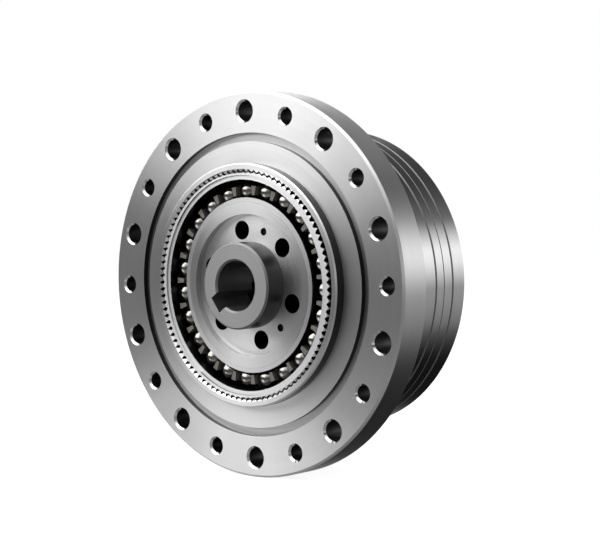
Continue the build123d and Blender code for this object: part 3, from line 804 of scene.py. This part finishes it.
# %% Shell and its directions
# The parts are the sine and the cosine of the camera's turn round the gear, 40.8 degrees. The
# level is the shell's share of its radius at a height, kept above 0 so that it can divide.
SHELL_RADIUS = 2.4
SINE_PART, COSINE_PART = 0.653, 0.757
LEAST_LEVEL = 0.05
bpy.ops.mesh.primitive_uv_sphere_add(segments=48, ring_count=24, radius=SHELL_RADIUS)
shell = bpy.context.object
shell.name = "reflection_shell"
shell.visible_camera = False
shell.visible_diffuse = False
shell.visible_shadow = False
shell.visible_transmission = False
shell_paint, tree, _ = new_material("shell_paint")
tree.nodes.clear()
place = add_node(tree, "ShaderNodeTexCoord")
aim = add_node(tree, "ShaderNodeVectorMath", operation="NORMALIZE")
tree.links.new(place.outputs["Object"], aim.inputs[0])
split = add_node(tree, "ShaderNodeSeparateXYZ")
tree.links.new(aim.outputs[0], split.inputs[0])
height = split.outputs["Z"]
height_square = work_out(tree, "MULTIPLY", height, height)
level = work_out(tree, "SQRT", work_out(tree, "SUBTRACT", 1.0, height_square))
level = work_out(tree, "MAXIMUM", level, LEAST_LEVEL)


def lies_along(x_part, y_part):
    """How far a point of the shell lies along a direction on the ground, from -1 to 1."""
    along = work_out(tree, "ADD", work_out(tree, "MULTIPLY", split.outputs["X"], x_part),
                     work_out(tree, "MULTIPLY", split.outputs["Y"], y_part))
    return work_out(tree, "DIVIDE", along, level)


rightward = lies_along(SINE_PART, COSINE_PART)
forward = lies_along(COSINE_PART, -SINE_PART)
left_side = work_out(tree, "MULTIPLY", rightward, -1.0)
print("shell directions:", len(tree.nodes), "nodes")

# %% Ramps of grey for the shell's two sides
# Each step is a height on the shell and a grey.
plain_side = tone_by_height(tree, height, (
    (-1.0, 0.06), (-0.6, 0.16), (-0.2, 0.06), (0.2, 0.055), (0.35, 0.2), (0.7, 0.45),
    (0.85, 0.8), (1.0, 0.6)))
right_wall = tone_by_height(tree, height, (
    (-0.55, 0.002), (-0.44, 0.03), (-0.36, 0.08), (-0.2, 0.12), (-0.1, 0.13), (0.0, 0.26),
    (0.1, 0.39), (0.2, 0.43), (0.3, 0.26), (0.4, 0.06), (0.62, 0.008), (0.8, 0.07)))
tones = mix_tones(tree, ease(tree, rightward, -0.1, 0.4), plain_side, right_wall)
print("shell ramps:", len(tree.nodes), "nodes")

# %% Dark corner and windows, each with its grey
dark_corner = work_out(
    tree, "MULTIPLY", share_in(tree, rightward, 0.0, 0.12, 0.22, 0.4),
    share_in(tree, height, 0.1, 0.2, 0.4, 0.55))
upper_window = work_out(
    tree, "MULTIPLY", ease(tree, height, 0.12, 0.26),
    share_in(tree, forward, -1.0, -0.6, 0.3, 0.8), ease(tree, left_side, 0.2, 0.5))
lower_window = work_out(
    tree, "MULTIPLY", share_in(tree, height, -0.72, -0.56, -0.32, -0.18),
    share_in(tree, forward, -0.58, -0.1, -0.05, 0.4), ease(tree, left_side, 0.3, 0.7))
for share, grey in ((dark_corner, 0.01), (upper_window, 1.0), (lower_window, 0.58)):
    tones = mix_tones(tree, share, tones, even_tone(tree, grey))
print("shell windows:", len(tree.nodes), "nodes")

# %% Light the shell
SHELL_STRENGTH = 2.8
glow = add_node(tree, "ShaderNodeEmission")
glow.inputs["Strength"].default_value = SHELL_STRENGTH
tree.links.new(tones, glow.inputs["Color"])
out = add_node(tree, "ShaderNodeOutputMaterial")
tree.links.new(glow.outputs[0], out.inputs["Surface"])
shell.data.materials.append(shell_paint)
print("reflection shell is ready")

# %% Soft lamps
LAMP_SIZE = 0.6


def soft_lamp(name, place, power):
    """A square soft lamp that looks at the gear."""
    bpy.ops.object.light_add(type="AREA", location=place)
    lamp = bpy.context.object
    lamp.name = name
    lamp.data.size = LAMP_SIZE
    lamp.data.energy = power
    lamp.rotation_euler = (-Vector(place)).to_track_quat("-Z", "Y").to_euler()
    lamp.visible_glossy = False


soft_lamp("key_lamp", (-0.5, -0.7, 0.7), 12)
soft_lamp("fill_lamp", (0.8, -0.5, 0.3), 4)
soft_lamp("rear_lamp", (0.4, 0.9, 0.5), 6)
